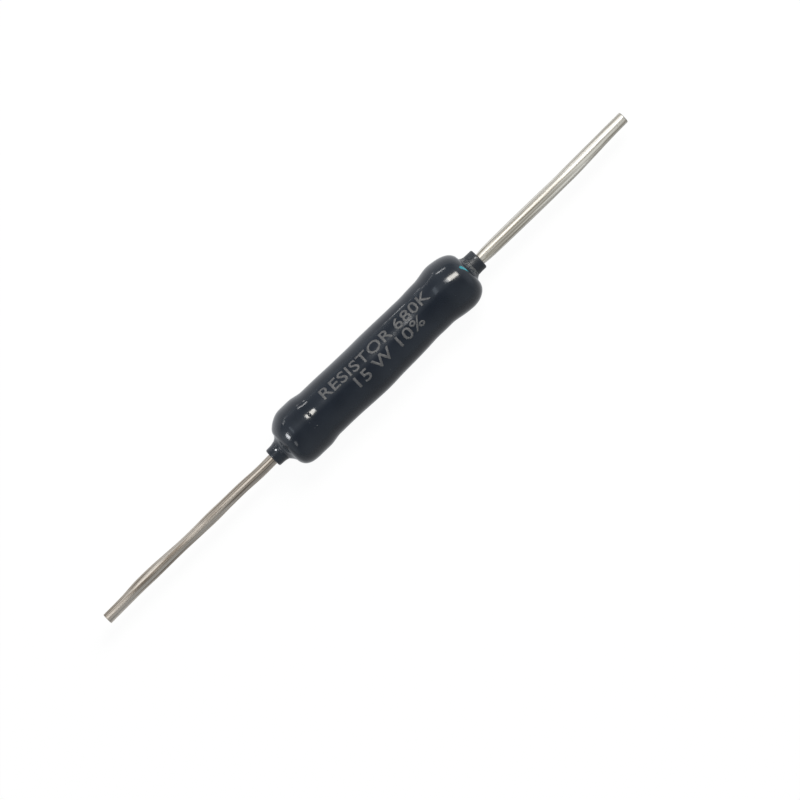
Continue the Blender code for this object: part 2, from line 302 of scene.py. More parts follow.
def new_group(name: str, kind: str, takes: dict, gives: dict) -> tuple[Tree, dict, Node]:
    """Start a node group with named inputs and outputs.

    Args:
        name: Name of the group.
        kind: Kind of tree, such as "ShaderNodeTree".
        takes: Socket type of each input, by name.
        gives: Socket type of each output, by name.

    Returns:
        The tree, its input sockets by name, and its output node.
    """
    tree = bpy.data.node_groups.new(name, kind)
    for in_out, sockets in (("INPUT", takes), ("OUTPUT", gives)):
        for socket, socket_type in sockets.items():
            tree.interface.new_socket(socket, in_out=in_out, socket_type=socket_type)
    source = tree.nodes.new("NodeGroupInput")
    result = tree.nodes.new("NodeGroupOutput")
    return Tree(tree), {socket: source.outputs[socket] for socket in takes}, result


class Effects:
    """Shader groups that several finishes share, each built once.

    A range holds the values of the raw noise that become 0 and 1.
    """

    patch_range: Pair = (0.3, 0.7)
    line_range: Pair = (0.4, 0.6)
    fine_lines: float = 2.2
    spot_edge: float = 0.6

    def __init__(self) -> None:
        """Build the groups."""
        self.mottle = self._mottle()
        self.streaks = self._streaks()
        self.flecks = self._flecks()

    def _mottle(self) -> NodeTree:
        """Soft uneven patches, as a value from 0 to 1.

        Returns:
            The group.
        """
        takes = {"Vector": VECTOR, "Patch Size": FLOAT, "Detail": FLOAT, "Seed": FLOAT}
        tree, given, result = new_group("soft_mottle", "ShaderNodeTree", takes, {"Tone": FLOAT})
        scale = tree.maths("DIVIDE", 1.0, given["Patch Size"])
        noise = tree.noise(given["Vector"], given["Seed"], scale, given["Detail"])
        tree.feed(tree.ramp(noise, *self.patch_range), result, "Tone")
        return tree.tree

    def _streaks(self) -> NodeTree:
        """Fine lines along X, as a drawing die leaves them: a coarse set and a fine one.

        Returns:
            The group.
        """
        takes = {"Vector": VECTOR, "Width": FLOAT, "Length": FLOAT, "Seed": FLOAT}
        gives = {"Tone": FLOAT, "Fine": FLOAT}
        tree, given, result = new_group("drawn_streaks", "ShaderNodeTree", takes, gives)
        along = tree.maths("DIVIDE", 1.0, given["Length"])
        across = tree.maths("DIVIDE", 1.0, given["Width"])
        shrink = tree.join(X=along, Y=across, Z=across)
        stretched = tree.vector("MULTIPLY", given["Vector"], shrink).outputs["Vector"]
        for output, scale, detail in (("Tone", 1.0, 2.0), ("Fine", self.fine_lines, 0.0)):
            noise = tree.noise(stretched, given["Seed"], scale, detail)
            tree.feed(tree.ramp(noise, *self.line_range), result, output)
        return tree.tree

    def _flecks(self) -> NodeTree:
        """Small separate spots, such as dust, each 1 at its middle.

        Returns:
            The group.
        """
        takes = {"Vector": VECTOR, "Spacing": FLOAT, "Spot Size": FLOAT, "Share": FLOAT}
        tree, given, result = new_group("fine_flecks", "ShaderNodeTree", takes, {"Spots": FLOAT})
        scale = tree.maths("DIVIDE", 1.0, given["Spacing"])
        cells = tree.add("ShaderNodeTexVoronoi", {"Vector": given["Vector"], "Scale": scale})
        reach = tree.maths("DIVIDE", given["Spot Size"], given["Spacing"])
        near = tree.maths("SUBTRACT", 1.0, tree.maths("DIVIDE", cells.outputs["Distance"], reach))
        tone = tree.add("ShaderNodeSeparateColor", {0: cells.outputs["Color"]})
        chosen = tree.maths("LESS_THAN", tone.outputs[0], given["Share"])
        spots = tree.maths("MULTIPLY", tree.ramp(near, 0.0, self.spot_edge), chosen)
        tree.feed(spots, result, "Spots")
        return tree.tree


@dataclass(frozen=True)
class Patches:
    """Soft patches of one size, with how much finer noise they carry and which they are."""

    size: float
    detail: float
    seed: float


@dataclass(frozen=True)
class Lines:
    """Drawn lines of one width and length, and which they are."""

    width: float
    length: float
    seed: float


@dataclass(frozen=True)
class Spots:
    """Small spots of one size, the spacing of their places and the share that has one."""

    spacing: float
    size: float
    share: float


class Canvas(Tree):
    """The tree of one material, with its shader, its object coordinates and the groups."""

    def __init__(self, material: Material, effects: Effects) -> None:
        """Start from a material's own shader.

        Args:
            material: The new material.
            effects: The shared shader groups.
        """
        super().__init__(material.node_tree)
        self.effects = effects
        self.shader = material.node_tree.nodes["Principled BSDF"]
        self.place = self.add("ShaderNodeTexCoord").outputs["Object"]

    def pattern(self, group: NodeTree, values: dict) -> Node:
        """Place one of the shared groups, with its values, on the object coordinates."""
        return self.add("ShaderNodeGroup", {"Vector": self.place, **values}, node_tree=group)

    def patches(self, kind: Patches) -> Socket:
        """Tone of soft patches, from 0 to 1."""
        values = {"Patch Size": kind.size * MM, "Detail": kind.detail, "Seed": kind.seed}
        return self.pattern(self.effects.mottle, values).outputs["Tone"]

    def lines(self, kind: Lines) -> Node:
        """Drawn lines, as a node that gives a coarse Tone and a Fine one, from 0 to 1."""
        values = {"Width": kind.width * MM, "Length": kind.length * MM, "Seed": kind.seed}
        return self.pattern(self.effects.streaks, values)

    def spots(self, kind: Spots) -> Socket:
        """Mask of small spots, from 0 to 1."""
        values = {"Spacing": kind.spacing * MM, "Spot Size": kind.size * MM, "Share": kind.share}
        return self.pattern(self.effects.flecks, values).outputs["Spots"]

    def scaled(self, tone: Socket, whole: float, least: float, most: float) -> Socket:
        """A value that follows a tone, from least to most of the whole."""
        return self.ramp(tone, 0.0, 1.0, (whole * least, whole * most))

    def bump(self, height: Socket, depth: float) -> None:
        """Give the shader a relief.

        Args:
            height: Relief from 0 to 1.
            depth: Depth of the whole relief in millimetres.
        """
        values = {"Height": height, "Distance": depth * MM, "Strength": 1.0}
        relief = self.add("ShaderNodeBump", values)
        self.feed(relief.outputs["Normal"], self.shader, "Normal")


@dataclass(frozen=True)
class Finish:
    """What every finish states: its name, colour and plain gloss."""

    name: str
    colour: Colour
    roughness: float
    metallic: float = 0.0

    def material(self, effects: Effects) -> Material:
        """Make the finish: its plain values with its pattern over them.

        Args:
            effects: The shared shader groups.

        Returns:
            Its material.
        """
        material = bpy.data.materials.new(self.name)
        material.use_nodes = True
        canvas = Canvas(material, effects)
        canvas.shader.inputs["Base Color"].default_value = (*self.colour, 1.0)
        canvas.shader.inputs["Roughness"].default_value = self.roughness
        canvas.shader.inputs["Metallic"].default_value = self.metallic
        self.paint(canvas)
        return material

    def paint(self, canvas: Canvas) -> None:
        """Lay the pattern of this kind of finish on the canvas."""
        raise NotImplementedError(self.name)


@dataclass(frozen=True)
class DippedCoat(Finish):
    """Glossy blue-black dip: faint cloudiness, orange peel, dust and rougher streaks on the
    right-hand neck, with painted light: a painted sheen at the necks, the neck streaks painted
    lighter as a reflection, and a painted teal reflection on the right-hand shoulder.

    The painted sheen and the dullness go along the coat, as far as knot_reach. The teal reflection
    is part of a ring, and its angles are in radians.
    """

    cloud: Patches = Patches(size=2.6, detail=2.0, seed=3.0)
    cloud_colour: Colour = (0.019, 0.0242, 0.0343)
    sheen_colour: Colour = (0.095, 0.105, 0.115)
    knot_reach: float = 12.5
    # Painted sheen: a pale band lightens the shade in the concave foot of the left-hand neck and
    # stands in for its reflection; fainter painted light over the left-hand bulge and the
    # right-hand end.
    sheen_levels: Knots = (
        (-0.9, 0.06), (-0.884, 0.45), (-0.874, 0.45), (-0.862, 0.03), (-0.7, 0.04),
        (-0.6, 0.0), (0.61, 0.0), (0.67, 0.05), (1.0, 0.05),
    )
    dullness: Knots = ((-0.91, 0.12), (-0.885, 0.0), (0.88, 0.0), (0.91, 0.3))
    gloss: Patches = Patches(size=1.1, detail=3.0, seed=5.0)
    gloss_range: Pair = (0.8, 1.25)
    peel: Patches = Patches(size=0.9, detail=1.0, seed=7.0)
    peel_depth: float = 0.0035
    # Dust specks in the coat's own colour.
    dust_and_glints: Spots = Spots(spacing=0.8, size=0.05, share=0.16)
    dust_colour: Colour = (0.2, 0.2, 0.2)
    dust_cover: float = 0.35
    # Right-hand neck streaks: rougher, and lighter in colour as a painted reflection.
    neck_streaks: Lines = Lines(width=0.12, length=3.0, seed=9.0)
    neck_streak_start: float = 10.93
    neck_streak_end: float = 11.26
    neck_streak_fade: Pair = (0.05, 0.03)
    neck_sheen_colour: Colour = (0.12, 0.125, 0.13)
    neck_streak_roughness: float = 0.3
    # Painted reflection: a teal crescent on the upper side of the right-hand shoulder.
    teal_reflection_colour: Colour = (0.035, 0.33, 0.4)
    teal_reflection_centre: Pair = (8.88, -0.23)
    teal_reflection_radius: float = 1.8
    teal_reflection_half_width: Pair = (0.03, 0.13)
    teal_reflection_widest: float = 0.45
    teal_reflection_edge: float = 0.06
    teal_reflection_start: Pair = (-0.02, 0.14)
    teal_reflection_end: Pair = (0.6, 0.5)
    index_of_refraction: float = 1.6

    def teal_reflection_mask(self, canvas: Canvas) -> Socket:
        """Where the crescent-shaped painted teal reflection lies on the right-hand shoulder.

        Args:
            canvas: What it is laid on.

        Returns:
            Its mask, from 0 to 1.
        """
        centre = (self.teal_reflection_centre[0] * MM, self.teal_reflection_centre[1] * MM, 0.0)
        offset = canvas.vector("SUBTRACT", canvas.place, centre).outputs["Vector"]
        x, y, z = canvas.split(offset)
        angle = canvas.maths("ARCTAN2", y, x)
        length = canvas.vector("LENGTH", canvas.join(X=x, Y=y)).outputs["Value"]
        away = canvas.maths("SUBTRACT", length, self.teal_reflection_radius * MM)
        narrow, wide = self.teal_reflection_half_width
        half_width = canvas.ramp(angle, 0.0, self.teal_reflection_widest, (narrow * MM, wide * MM))
        inside = canvas.maths("SUBTRACT", half_width, canvas.maths("ABSOLUTE", away))
        across = canvas.ramp(inside, 0.0, self.teal_reflection_edge * MM)
        start = canvas.ramp(angle, *self.teal_reflection_start)
        along = canvas.maths("MULTIPLY", start, canvas.ramp(angle, *self.teal_reflection_end))
        top = canvas.maths("GREATER_THAN", z, 0.0)
        return canvas.maths("MULTIPLY", canvas.maths("MULTIPLY", across, along), top)

    def neck_streak_mask(self, canvas: Canvas, x: Socket) -> Socket:
        """Where the right-hand neck carries its streaks, which are rougher and painted lighter as
        a reflection.

        Args:
            canvas: What it is laid on.
            x: X of the object coordinates.

        Returns:
            Its mask, from 0 to 1.
        """
        before, after = self.neck_streak_fade
        enter = canvas.ramp(x, (self.neck_streak_start - before) * MM, self.neck_streak_start * MM)
        leave = canvas.ramp(x, (self.neck_streak_end + after) * MM, self.neck_streak_end * MM)
        tone = canvas.lines(self.neck_streaks).outputs["Tone"]
        return canvas.maths("MULTIPLY", canvas.maths("MULTIPLY", enter, leave), tone)

    def paint(self, canvas: Canvas) -> None:
        """Lay the cloudiness, the painted sheen, the neck streaks with their painted reflection,
        the painted teal reflection, the dust and the orange peel.

        Args:
            canvas: What they are laid on.
        """
        x = canvas.split(canvas.place)[0]
        reach = self.knot_reach * MM
        colour = canvas.blend(canvas.patches(self.cloud), self.colour, self.cloud_colour)
        # Painted sheen: a lighter colour at the necks, in place of light and reflection.
        colour = canvas.blend(canvas.levels(x, reach, self.sheen_levels), colour, self.sheen_colour)
        streaked_neck = self.neck_streak_mask(canvas, x)
        # Painted reflection: the neck streaks are lighter in colour.
        colour = canvas.blend(streaked_neck, colour, self.neck_sheen_colour)
        # Painted reflection: the teal crescent.
        colour = canvas.blend(self.teal_reflection_mask(canvas), colour, self.teal_reflection_colour)
        dusty = canvas.maths("MULTIPLY", canvas.spots(self.dust_and_glints), self.dust_cover)
        colour = canvas.blend(dusty, colour, self.dust_colour)
        canvas.feed(colour, canvas.shader, "Base Color")

        gloss = canvas.scaled(canvas.patches(self.gloss), self.roughness, *self.gloss_range)
        worn = canvas.maths("MULTIPLY", streaked_neck, self.neck_streak_roughness)
        gloss = canvas.maths("ADD", gloss, worn)
        gloss = canvas.maths("ADD", gloss, canvas.levels(x, reach, self.dullness))
        canvas.feed(gloss, canvas.shader, "Roughness")

        canvas.bump(canvas.patches(self.peel), self.peel_depth)
        canvas.shader.inputs["IOR"].default_value = self.index_of_refraction


@dataclass(frozen=True)
class TinnedWire(Finish):
    """Tinned wire with the lines that its die left, duller patches and dark specks."""

    dull_colour: Colour = (0.33, 0.27, 0.21)
    line_width: float = 0.15
    line_length: float = 24.0
    line_depth: float = 0.006
    line_cover: float = 0.55
    patch_width: float = 0.45
    patch_length: float = 9.0
    patch_cover: float = 0.35
    specks: Spots = Spots(spacing=0.5, size=0.06, share=0.05)
    speck_colour: Colour = (0.12, 0.1, 0.09)
    speck_cover: float = 0.5
    gloss_range: Pair = (0.75, 1.35)
    seed: float = 1.0
    patch_seed_step: float = 4.0

    def paint(self, canvas: Canvas) -> None:
        """Lay the lines, patches and specks.

        Args:
            canvas: What they are laid on.
        """
        lines = canvas.lines(Lines(self.line_width, self.line_length, self.seed)).outputs
        patch_seed = self.seed + self.patch_seed_step
        patches = canvas.lines(Lines(self.patch_width, self.patch_length, patch_seed)).outputs
        dull = canvas.maths("MULTIPLY", lines["Tone"], self.line_cover)
        more = canvas.maths("MULTIPLY", patches["Tone"], self.patch_cover)
        colour = canvas.blend(canvas.maths("ADD", dull, more), self.colour, self.dull_colour)
        dark = canvas.maths("MULTIPLY", canvas.spots(self.specks), self.speck_cover)
        colour = canvas.blend(dark, colour, self.speck_colour)
        canvas.feed(colour, canvas.shader, "Base Color")
        gloss = canvas.scaled(lines["Fine"], self.roughness, *self.gloss_range)
        canvas.feed(gloss, canvas.shader, "Roughness")
        canvas.bump(lines["Tone"], self.line_depth)


@dataclass(frozen=True)
class StampedInk(Finish):
    """Grey stamping ink, thinner in places so that the coat darkens it."""

    worn: Patches = Patches(size=0.16, detail=3.0, seed=2.0)
    worn_colour: Colour = (0.06, 0.063, 0.068)
    worn_cover: float = 0.6
    depth: float = 0.002

    def paint(self, canvas: Canvas) -> None:
        """Lay the thin places.

        Args:
            canvas: What they are laid on.
        """
        worn = canvas.patches(self.worn)
        share = canvas.maths("MULTIPLY", worn, self.worn_cover)
        colour = canvas.blend(share, self.colour, self.worn_colour)
        canvas.feed(colour, canvas.shader, "Base Color")
        canvas.bump(worn, self.depth)


@dataclass(frozen=True)
class FiredSurface(Finish):
    """Ceramic, glaze or fired metal: fine grain, with darker patches of its own colour."""

    patches: Patches = Patches(size=1.8, detail=3.0, seed=1.0)
    dark_share: float = 0.7
    grain: Patches = Patches(size=0.12, detail=4.0, seed=6.0)
    gloss_range: Pair = (0.85, 1.15)
    depth: float = 0.004

    def paint(self, canvas: Canvas) -> None:
        """Lay the patches and the grain.

        Args:
            canvas: What they are laid on.
        """
        grain = canvas.patches(self.grain)
        darker = tuple(self.dark_share * channel for channel in self.colour)
        colour = canvas.blend(canvas.patches(self.patches), self.colour, darker)
        canvas.feed(colour, canvas.shader, "Base Color")
        gloss = canvas.scaled(grain, self.roughness, *self.gloss_range)
        canvas.feed(gloss, canvas.shader, "Roughness")
        canvas.bump(grain, self.depth)


def add_object(name: str, data: bpy.types.ID) -> Piece:
    """Put an object in the scene, at the origin.

    Args:
        name: Its name.
        data: Its mesh, text, lamp or camera.

    Returns:
        The new object.
    """
    added = bpy.data.objects.new(name, data)
    bpy.context.scene.collection.objects.link(added)
    return added


def evaluated_mesh(piece: Piece) -> bpy.types.Mesh:
    """A plain mesh of what a piece evaluates to."""
    graph = bpy.context.evaluated_depsgraph_get()
    return bpy.data.meshes.new_from_object(piece.evaluated_get(graph))


def apply_tree(piece: Piece, tree: NodeTree, values: dict) -> None:
    """Run a Geometry Nodes tree on a piece and keep its result as a plain mesh.

    Args:
        piece: The object that the tree starts from.
        tree: The tree.
        values: What each of its inputs gets, by name.
    """
    modifier = piece.modifiers.new(tree.name, "NODES")
    modifier.node_group = tree
    for item in tree.interface.items_tree:
        if item.item_type == "SOCKET" and item.in_out == "INPUT" and item.name in values:
            modifier[item.identifier] = values[item.name]
    mesh = evaluated_mesh(piece)
    piece.modifiers.clear()
    shape = bmesh.new()
    shape.from_mesh(mesh)
    bmesh.ops.recalc_face_normals(shape, faces=shape.faces)
    shape.to_mesh(mesh)
    shape.free()
    mesh.name = piece.name
    piece.data = mesh


def close_shape_tree(tree: Tree, shape: Socket, material: Socket, result: Node) -> None:
    """End a Geometry Nodes tree: smooth, realized and with its material.

    Args:
        tree: The tree.
        shape: The geometry that it made.
        material: Its material input.
        result: Its output node.
    """
    smooth = tree.add("GeometryNodeSetShadeSmooth", {0: shape})
    real = tree.add("GeometryNodeRealizeInstances", {0: smooth.outputs[0]})
    done = tree.add("GeometryNodeSetMaterial", {0: real.outputs[0], "Material": material})
    tree.feed(done.outputs[0], result, "Geometry")


def turned_skin_tree() -> NodeTree:
    """Geometry Nodes tree that turns a closed profile about X.

    Each profile point is (x, sideways shift, radius), and its "skin" attribute is 1 where the
    surface may be uneven. The tree makes a grid of rings and columns and bends it round.

    Returns:
        The tree.
    """
    takes = {
        "Geometry": SHAPE,
        "Sides": WHOLE,
        "Unevenness": FLOAT,
        "Patch Size": FLOAT,
        "Seed": FLOAT,
        "Material": MATERIAL,
    }
    tree, given, result = new_group("turned_skin", "GeometryNodeTree", takes, {"Geometry": SHAPE})
    size = tree.add("GeometryNodeAttributeDomainSize", {0: given["Geometry"]}, component="MESH")
    rings = size.outputs["Point Count"]
    columns = tree.maths("ADD", given["Sides"], 1.0)
    counts = {"Vertices X": tree.maths("ADD", rings, 1.0), "Vertices Y": columns}
    grid = tree.add("GeometryNodeMeshGrid", counts)
    index = tree.add("GeometryNodeInputIndex").outputs[0]
    ring = tree.maths("FLOOR", tree.maths("DIVIDE", tree.maths("ADD", index, 0.5), columns))
    column = tree.maths("SUBTRACT", index, tree.maths("MULTIPLY", ring, columns))
    ring = tree.maths("MODULO", ring, rings)
    angle = tree.maths("DIVIDE", tree.maths("MULTIPLY", column, math.tau), given["Sides"])

    profile = {0: given["Geometry"], "Index": ring}
    point = tree.add("GeometryNodeSampleIndex", profile, data_type="FLOAT_VECTOR")
    tree.feed(tree.add("GeometryNodeInputPosition").outputs[0], point, "Value")
    skin = tree.add("GeometryNodeSampleIndex", profile)
    tree.feed(tree.attribute("skin"), skin, "Value")
    x, shift, radius = tree.split(point.outputs[0])
    cosine = tree.maths("COSINE", angle)
    sine = tree.maths("SINE", angle)

    def ring_point(reach: Socket) -> Socket:
        """Place on the ring at a distance from its middle."""
        y = tree.maths("ADD", shift, tree.maths("MULTIPLY", reach, cosine))
        return tree.join(X=x, Y=y, Z=tree.maths("MULTIPLY", reach, sine))

    scale = tree.maths("DIVIDE", 1.0, given["Patch Size"])
    noise = tree.noise(ring_point(radius), given["Seed"], scale, 1.0)
    sunk = tree.maths("MULTIPLY", noise, given["Unevenness"])
    sunk = tree.maths("MULTIPLY", sunk, skin.outputs[0])
    skin_place = ring_point(tree.maths("SUBTRACT", radius, sunk))
    values = {"Geometry": grid.outputs[0], "Position": skin_place}
    placed = tree.add("GeometryNodeSetPosition", values)
    seam = {0: placed.outputs[0], "Distance": SEAM_GAP * MM}
    closed = tree.add("GeometryNodeMergeByDistance", seam)
    close_shape_tree(tree, closed.outputs[0], given["Material"], result)
    return tree.tree


def drawn_wire_tree() -> NodeTree:
    """Geometry Nodes tree that sweeps a round section along a route.

    The route's points carry a "thickness" attribute, the wire's radius there.

    Returns:
        The tree.
    """
    takes = {"Geometry": SHAPE, "Sides": WHOLE, "Material": MATERIAL}
    tree, given, result = new_group("drawn_wire", "GeometryNodeTree", takes, {"Geometry": SHAPE})
    route = tree.add("GeometryNodeMeshToCurve", {0: given["Geometry"]})
    circle = {"Resolution": given["Sides"], "Radius": 1.0}
    section = tree.add("GeometryNodeCurvePrimitiveCircle", circle)
    values = {
        "Curve": route.outputs[0],
        "Profile Curve": section.outputs[0],
        "Scale": tree.attribute("thickness"),
        "Fill Caps": True,
    }
    sweep = tree.add("GeometryNodeCurveToMesh", values)
    close_shape_tree(tree, sweep.outputs[0], given["Material"], result)
    return tree.tree


def grain_tree() -> NodeTree:
    """Geometry Nodes tree that sets a small flat dome on each point.

    The points carry their "outwards" direction and their "spread", the dome's radius.

    Returns:
        The tree.
    """
    takes = {"Geometry": SHAPE, "Sides": WHOLE, "Flatness": FLOAT, "Material": MATERIAL}
    tree, given, result = new_group("dust_nibs", "GeometryNodeTree", takes, {"Geometry": SHAPE})
    ball = {"Segments": given["Sides"], "Rings": 8, "Radius": 1.0}
    dome = tree.add("GeometryNodeMeshUVSphere", ball)
    outwards = {"Vector": tree.attribute("outwards", "FLOAT_VECTOR")}
    turn = tree.add("FunctionNodeAlignRotationToVector", outwards, axis="Z")
    spread = tree.attribute("spread")
    height = tree.maths("MULTIPLY", spread, given["Flatness"])
    values = {
        "Points": given["Geometry"],
        "Instance": dome.outputs[0],
        "Rotation": turn.outputs[0],
        "Scale": tree.join(X=spread, Y=spread, Z=height),
    }
    set_out = tree.add("GeometryNodeInstanceOnPoints", values)
    close_shape_tree(tree, set_out.outputs[0], given["Material"], result)
    return tree.tree


def points_mesh(
    name: str, points: list[tuple], values: dict[str, list], joined: bool = True
) -> bpy.types.Mesh:
    """A mesh of points, joined in a row or loose, that carry named values.

    Args:
        name: Name of the mesh.
        points: The points in metres.
        values: Values for the points by attribute name: numbers, or vectors.
        joined: Whether each point is joined to the next.

    Returns:
        The mesh.
    """
    mesh = bpy.data.meshes.new(name)
    edges = [(i, i + 1) for i in range(len(points) - 1)] if joined else []
    mesh.from_pydata(points, edges, [])
    for attribute, numbers in values.items():
        if isinstance(numbers[0], Vector):
            layer = mesh.attributes.new(attribute, "FLOAT_VECTOR", "POINT")
            layer.data.foreach_set("vector", [c for vector in numbers for c in vector])
        else:
            layer = mesh.attributes.new(attribute, "FLOAT", "POINT")
            layer.data.foreach_set("value", numbers)
    return mesh


def surface_of(piece: Piece) -> BVHTree:
    """A search tree of a piece's faces, for rays.

    Args:
        piece: A piece at the origin.

    Returns:
        The search tree.
    """
    shape = bmesh.new()
    shape.from_mesh(piece.data)
    found = BVHTree.FromBMesh(shape)
    shape.free()
    return found


@dataclass(frozen=True)
class CoatEnd:
    """One end of the coat, from the shoulder over the cap to the collar on the wire."""

    bulge_radius: float
    step_middle: float
    step_length: float
    over_floor: float
    shoulder_length: float
    shoulder_fullness: float
    collar_length: float
    collar_diameter: float
    neck_rise: float
    neck_reach: float
    edge_round: float = 0.15
    crease_from_shoulder: float = 0.4
    crease_width: float = 0.08
    crease_depth: float = 0.03
    edge_steps: int = 8
    neck_steps: int = 26
    neck_crowding: float = 1.5
    shoulder_steps: int = 36

    def shoulder_end(self) -> float:
        """Distance from the middle to where the shoulder meets the neck."""
        return WELD_PLANE + self.over_floor

    def collar_tip(self) -> float:
        """Distance from the middle to the end of the coat."""
        return self.shoulder_end() + self.collar_length

    def neck_radius(self, distance: float) -> float:
        """Radius of the neck and collar at a distance past the shoulder, without the crease."""
        return self.collar_diameter / 2 + self.neck_rise * math.exp(-distance / self.neck_reach)

    def collar_outline(self) -> list[Pair]:
        """Collar from its tip, past the crease, up to the shoulder's foot.

        Returns:
            The outline, as (x, r).
        """
        tip_radius = self.neck_radius(self.collar_length)
        centre = (self.collar_tip() - self.edge_round, tip_radius - self.edge_round)
        outline = quarter_arc(centre, self.edge_round, self.edge_steps)
        start = self.collar_length - self.edge_round
        for step in range(1, self.neck_steps + 1):
            distance = start * (1 - step / self.neck_steps) ** self.neck_crowding
            across = (distance - self.crease_from_shoulder) / (self.crease_width / 2)
            sunk = self.crease_depth * math.exp(-across * across)
            outline.append((self.shoulder_end() + distance, self.neck_radius(distance) - sunk))
        return outline

    def shoulder_outline(self) -> list[Pair]:
        """Rounded end of the coat, from its foot out to the bulge over the cap.

        Returns:
            The outline, as (x, r).
        """
        foot = self.neck_radius(0.0)
        power = 2 / self.shoulder_fullness
        outline = []
        for step in range(1, self.shoulder_steps + 1):
            angle = math.pi / 2 * step / self.shoulder_steps
            inwards = self.shoulder_length * (1 - math.cos(angle) ** power)
            rise = (self.bulge_radius - foot) * math.sin(angle) ** power
            outline.append((self.shoulder_end() - inwards, foot + rise))
        return outline


@dataclass(frozen=True)
class DippedBody:
    """The coat: one skin over caps and film that runs out along both wires.

    Its thickness over the film is read by the share of the way to a cap's mouth, and its lean
    by the share of the way to a shoulder's end. Both shares are below 0 on the left.
    """

    round_share: float = 0.9962
    bore_at_cap: float = 2.32
    bore_at_film: float = 2.10
    bore_at_wire: float = 0.52
    foot_bore: float = 0.77
    corner_radius: float = 0.54
    corner_centre: Pair = (9.70, 1.78)
    cap_mouth: float = 7.5
    seat_gap: float = 0.02
    over_film: Knots = (
        (-1.0, 0.378), (-0.56, 0.369), (-0.35, 0.388), (-0.08, 0.404), (0.1, 0.374),
        (0.3, 0.345), (0.5, 0.306), (0.65, 0.266), (0.8, 0.302), (1.0, 0.313),
    )
    lean: Knots = (
        (-1.04, 0.055), (-0.98, -0.11), (-0.94, -0.09), (-0.86, 0.02), (-0.76, 0.03),
        (-0.64, 0.012), (-0.45, 0.003), (-0.12, -0.082), (0.05, -0.036), (0.3, -0.01),
        (0.53, 0.056), (0.76, 0.088), (0.86, 0.015), (0.97, 0.03), (1.03, 0.1),
    )
    sides: int = 160
    waist_steps: int = 150
    corner_steps: int = 6
    unevenness: float = 0.012
    calm_length: float = 0.5
    patch_size: float = 2.2
    seed: float = 11.0
    left: CoatEnd = CoatEnd(
        bulge_radius=2.665,
        step_middle=7.38,
        step_length=1.36,
        over_floor=0.71,
        shoulder_length=1.8,
        shoulder_fullness=1.92,
        collar_length=1.44,
        collar_diameter=1.77,
        neck_rise=0.62,
        neck_reach=0.28,
    )
    right: CoatEnd = CoatEnd(
        bulge_radius=2.65,
        step_middle=7.58,
        step_length=1.9,
        over_floor=0.6,
        shoulder_length=2.16,
        shoulder_fullness=2.2,
        collar_length=1.34,
        collar_diameter=1.96,
        neck_rise=0.3,
        neck_reach=0.2,
    )
    nibs: tuple[Spot, ...] = (
        (-7.65, -0.6, 0.1), (-7.52, 0.74, 0.15), (-7.5, 0.5, 0.16), (-7.47, 0.3, 0.1),
        (8.5, -0.83, 0.06),
    )
    # Pale grains on the collars: painted glints, in place of the highlights on small bubbles in
    # the coat.
    dust_and_glints: tuple[Spot, ...] = ((-11.67, 0.37, 0.1), (11.92, 0.34, 0.05))
    stray_nibs: int = 14
    stray_seed: int = 5
    stray_angles: Pair = (100.0, 260.0)
    stray_reach: float = 10.0
    stray_spread: Pair = (0.03, 0.07)
    grain_sides: int = 16
    grain_flatness: float = 0.7
    grain_sunk: float = 0.1
    ray_start: float = 5.0
    skin: DippedCoat = DippedCoat("dipped_coat", COAT_COLOUR, COAT_ROUGHNESS)
    nib_skin: DippedCoat = DippedCoat(
        "coat_over_dust", COAT_COLOUR, COAT_ROUGHNESS, dullness=((0.0, 0.0), (1.0, 0.0))
    )
    # Painted glints: near-white grains that stand in for highlights.
    glint_skin: FiredSurface = FiredSurface("pale_glint_grains", (0.92, 0.93, 0.95), roughness=0.4)

    def end_at(self, x: float) -> CoatEnd:
        """The end of the coat on this side of the middle."""
        return self.right if x > 0 else self.left

    def radius_between_shoulders(self, x: float) -> float:
        """Outer radius over the film and up the step on to each cap.

        Args:
            x: Place along the axis.

        Returns:
            The radius there.
        """
        end = self.end_at(x)
        waist = self.bore_at_film + smooth_curve(self.over_film, x / self.cap_mouth)
        climb = smooth_step((abs(x) - end.step_middle) / end.step_length + 0.5)
        return waist + (end.bulge_radius - waist) * climb

    def lean_at(self, x: float) -> float:
        """How far the skin hangs towards +Y at a place along the axis."""
        return smooth_curve(self.lean, x / self.end_at(x).shoulder_end())

    def skin_outline(self) -> list[Pair]:
        """Outside of the coat from the right-hand tip to the left-hand one.

        Returns:
            The outline, as (x, r).
        """
        start = self.right.shoulder_end() - self.right.shoulder_length
        stop = self.left.shoulder_length - self.left.shoulder_end()
        steps = self.waist_steps
        places = (start + (stop - start) * i / steps for i in range(1, steps))
        middle = [(x, self.radius_between_shoulders(x)) for x in places]
        right = self.right.collar_outline() + self.right.shoulder_outline()
        left = self.left.collar_outline() + self.left.shoulder_outline()
        return right + middle + mirrored(left)

    def cavity_half(self, end: CoatEnd) -> list[Pair]:
        """Inside of one end, from the wire's hole to the cap's mouth.

        Args:
            end: The end of the coat.

        Returns:
            The outline, as (x, r), as it is at the right-hand end.
        """
        foot_end = WELD_PLANE + WELD_FOOT_LENGTH
        mouth = self.cap_mouth - self.seat_gap
        return [
            (end.collar_tip(), self.bore_at_wire),
            (foot_end + self.seat_gap, self.bore_at_wire),
            (foot_end, self.foot_bore),
            (WELD_PLANE, self.foot_bore),
            *quarter_arc(self.corner_centre, self.corner_radius, self.corner_steps),
            (mouth, self.bore_at_cap),
            (mouth, self.bore_at_film),
        ]

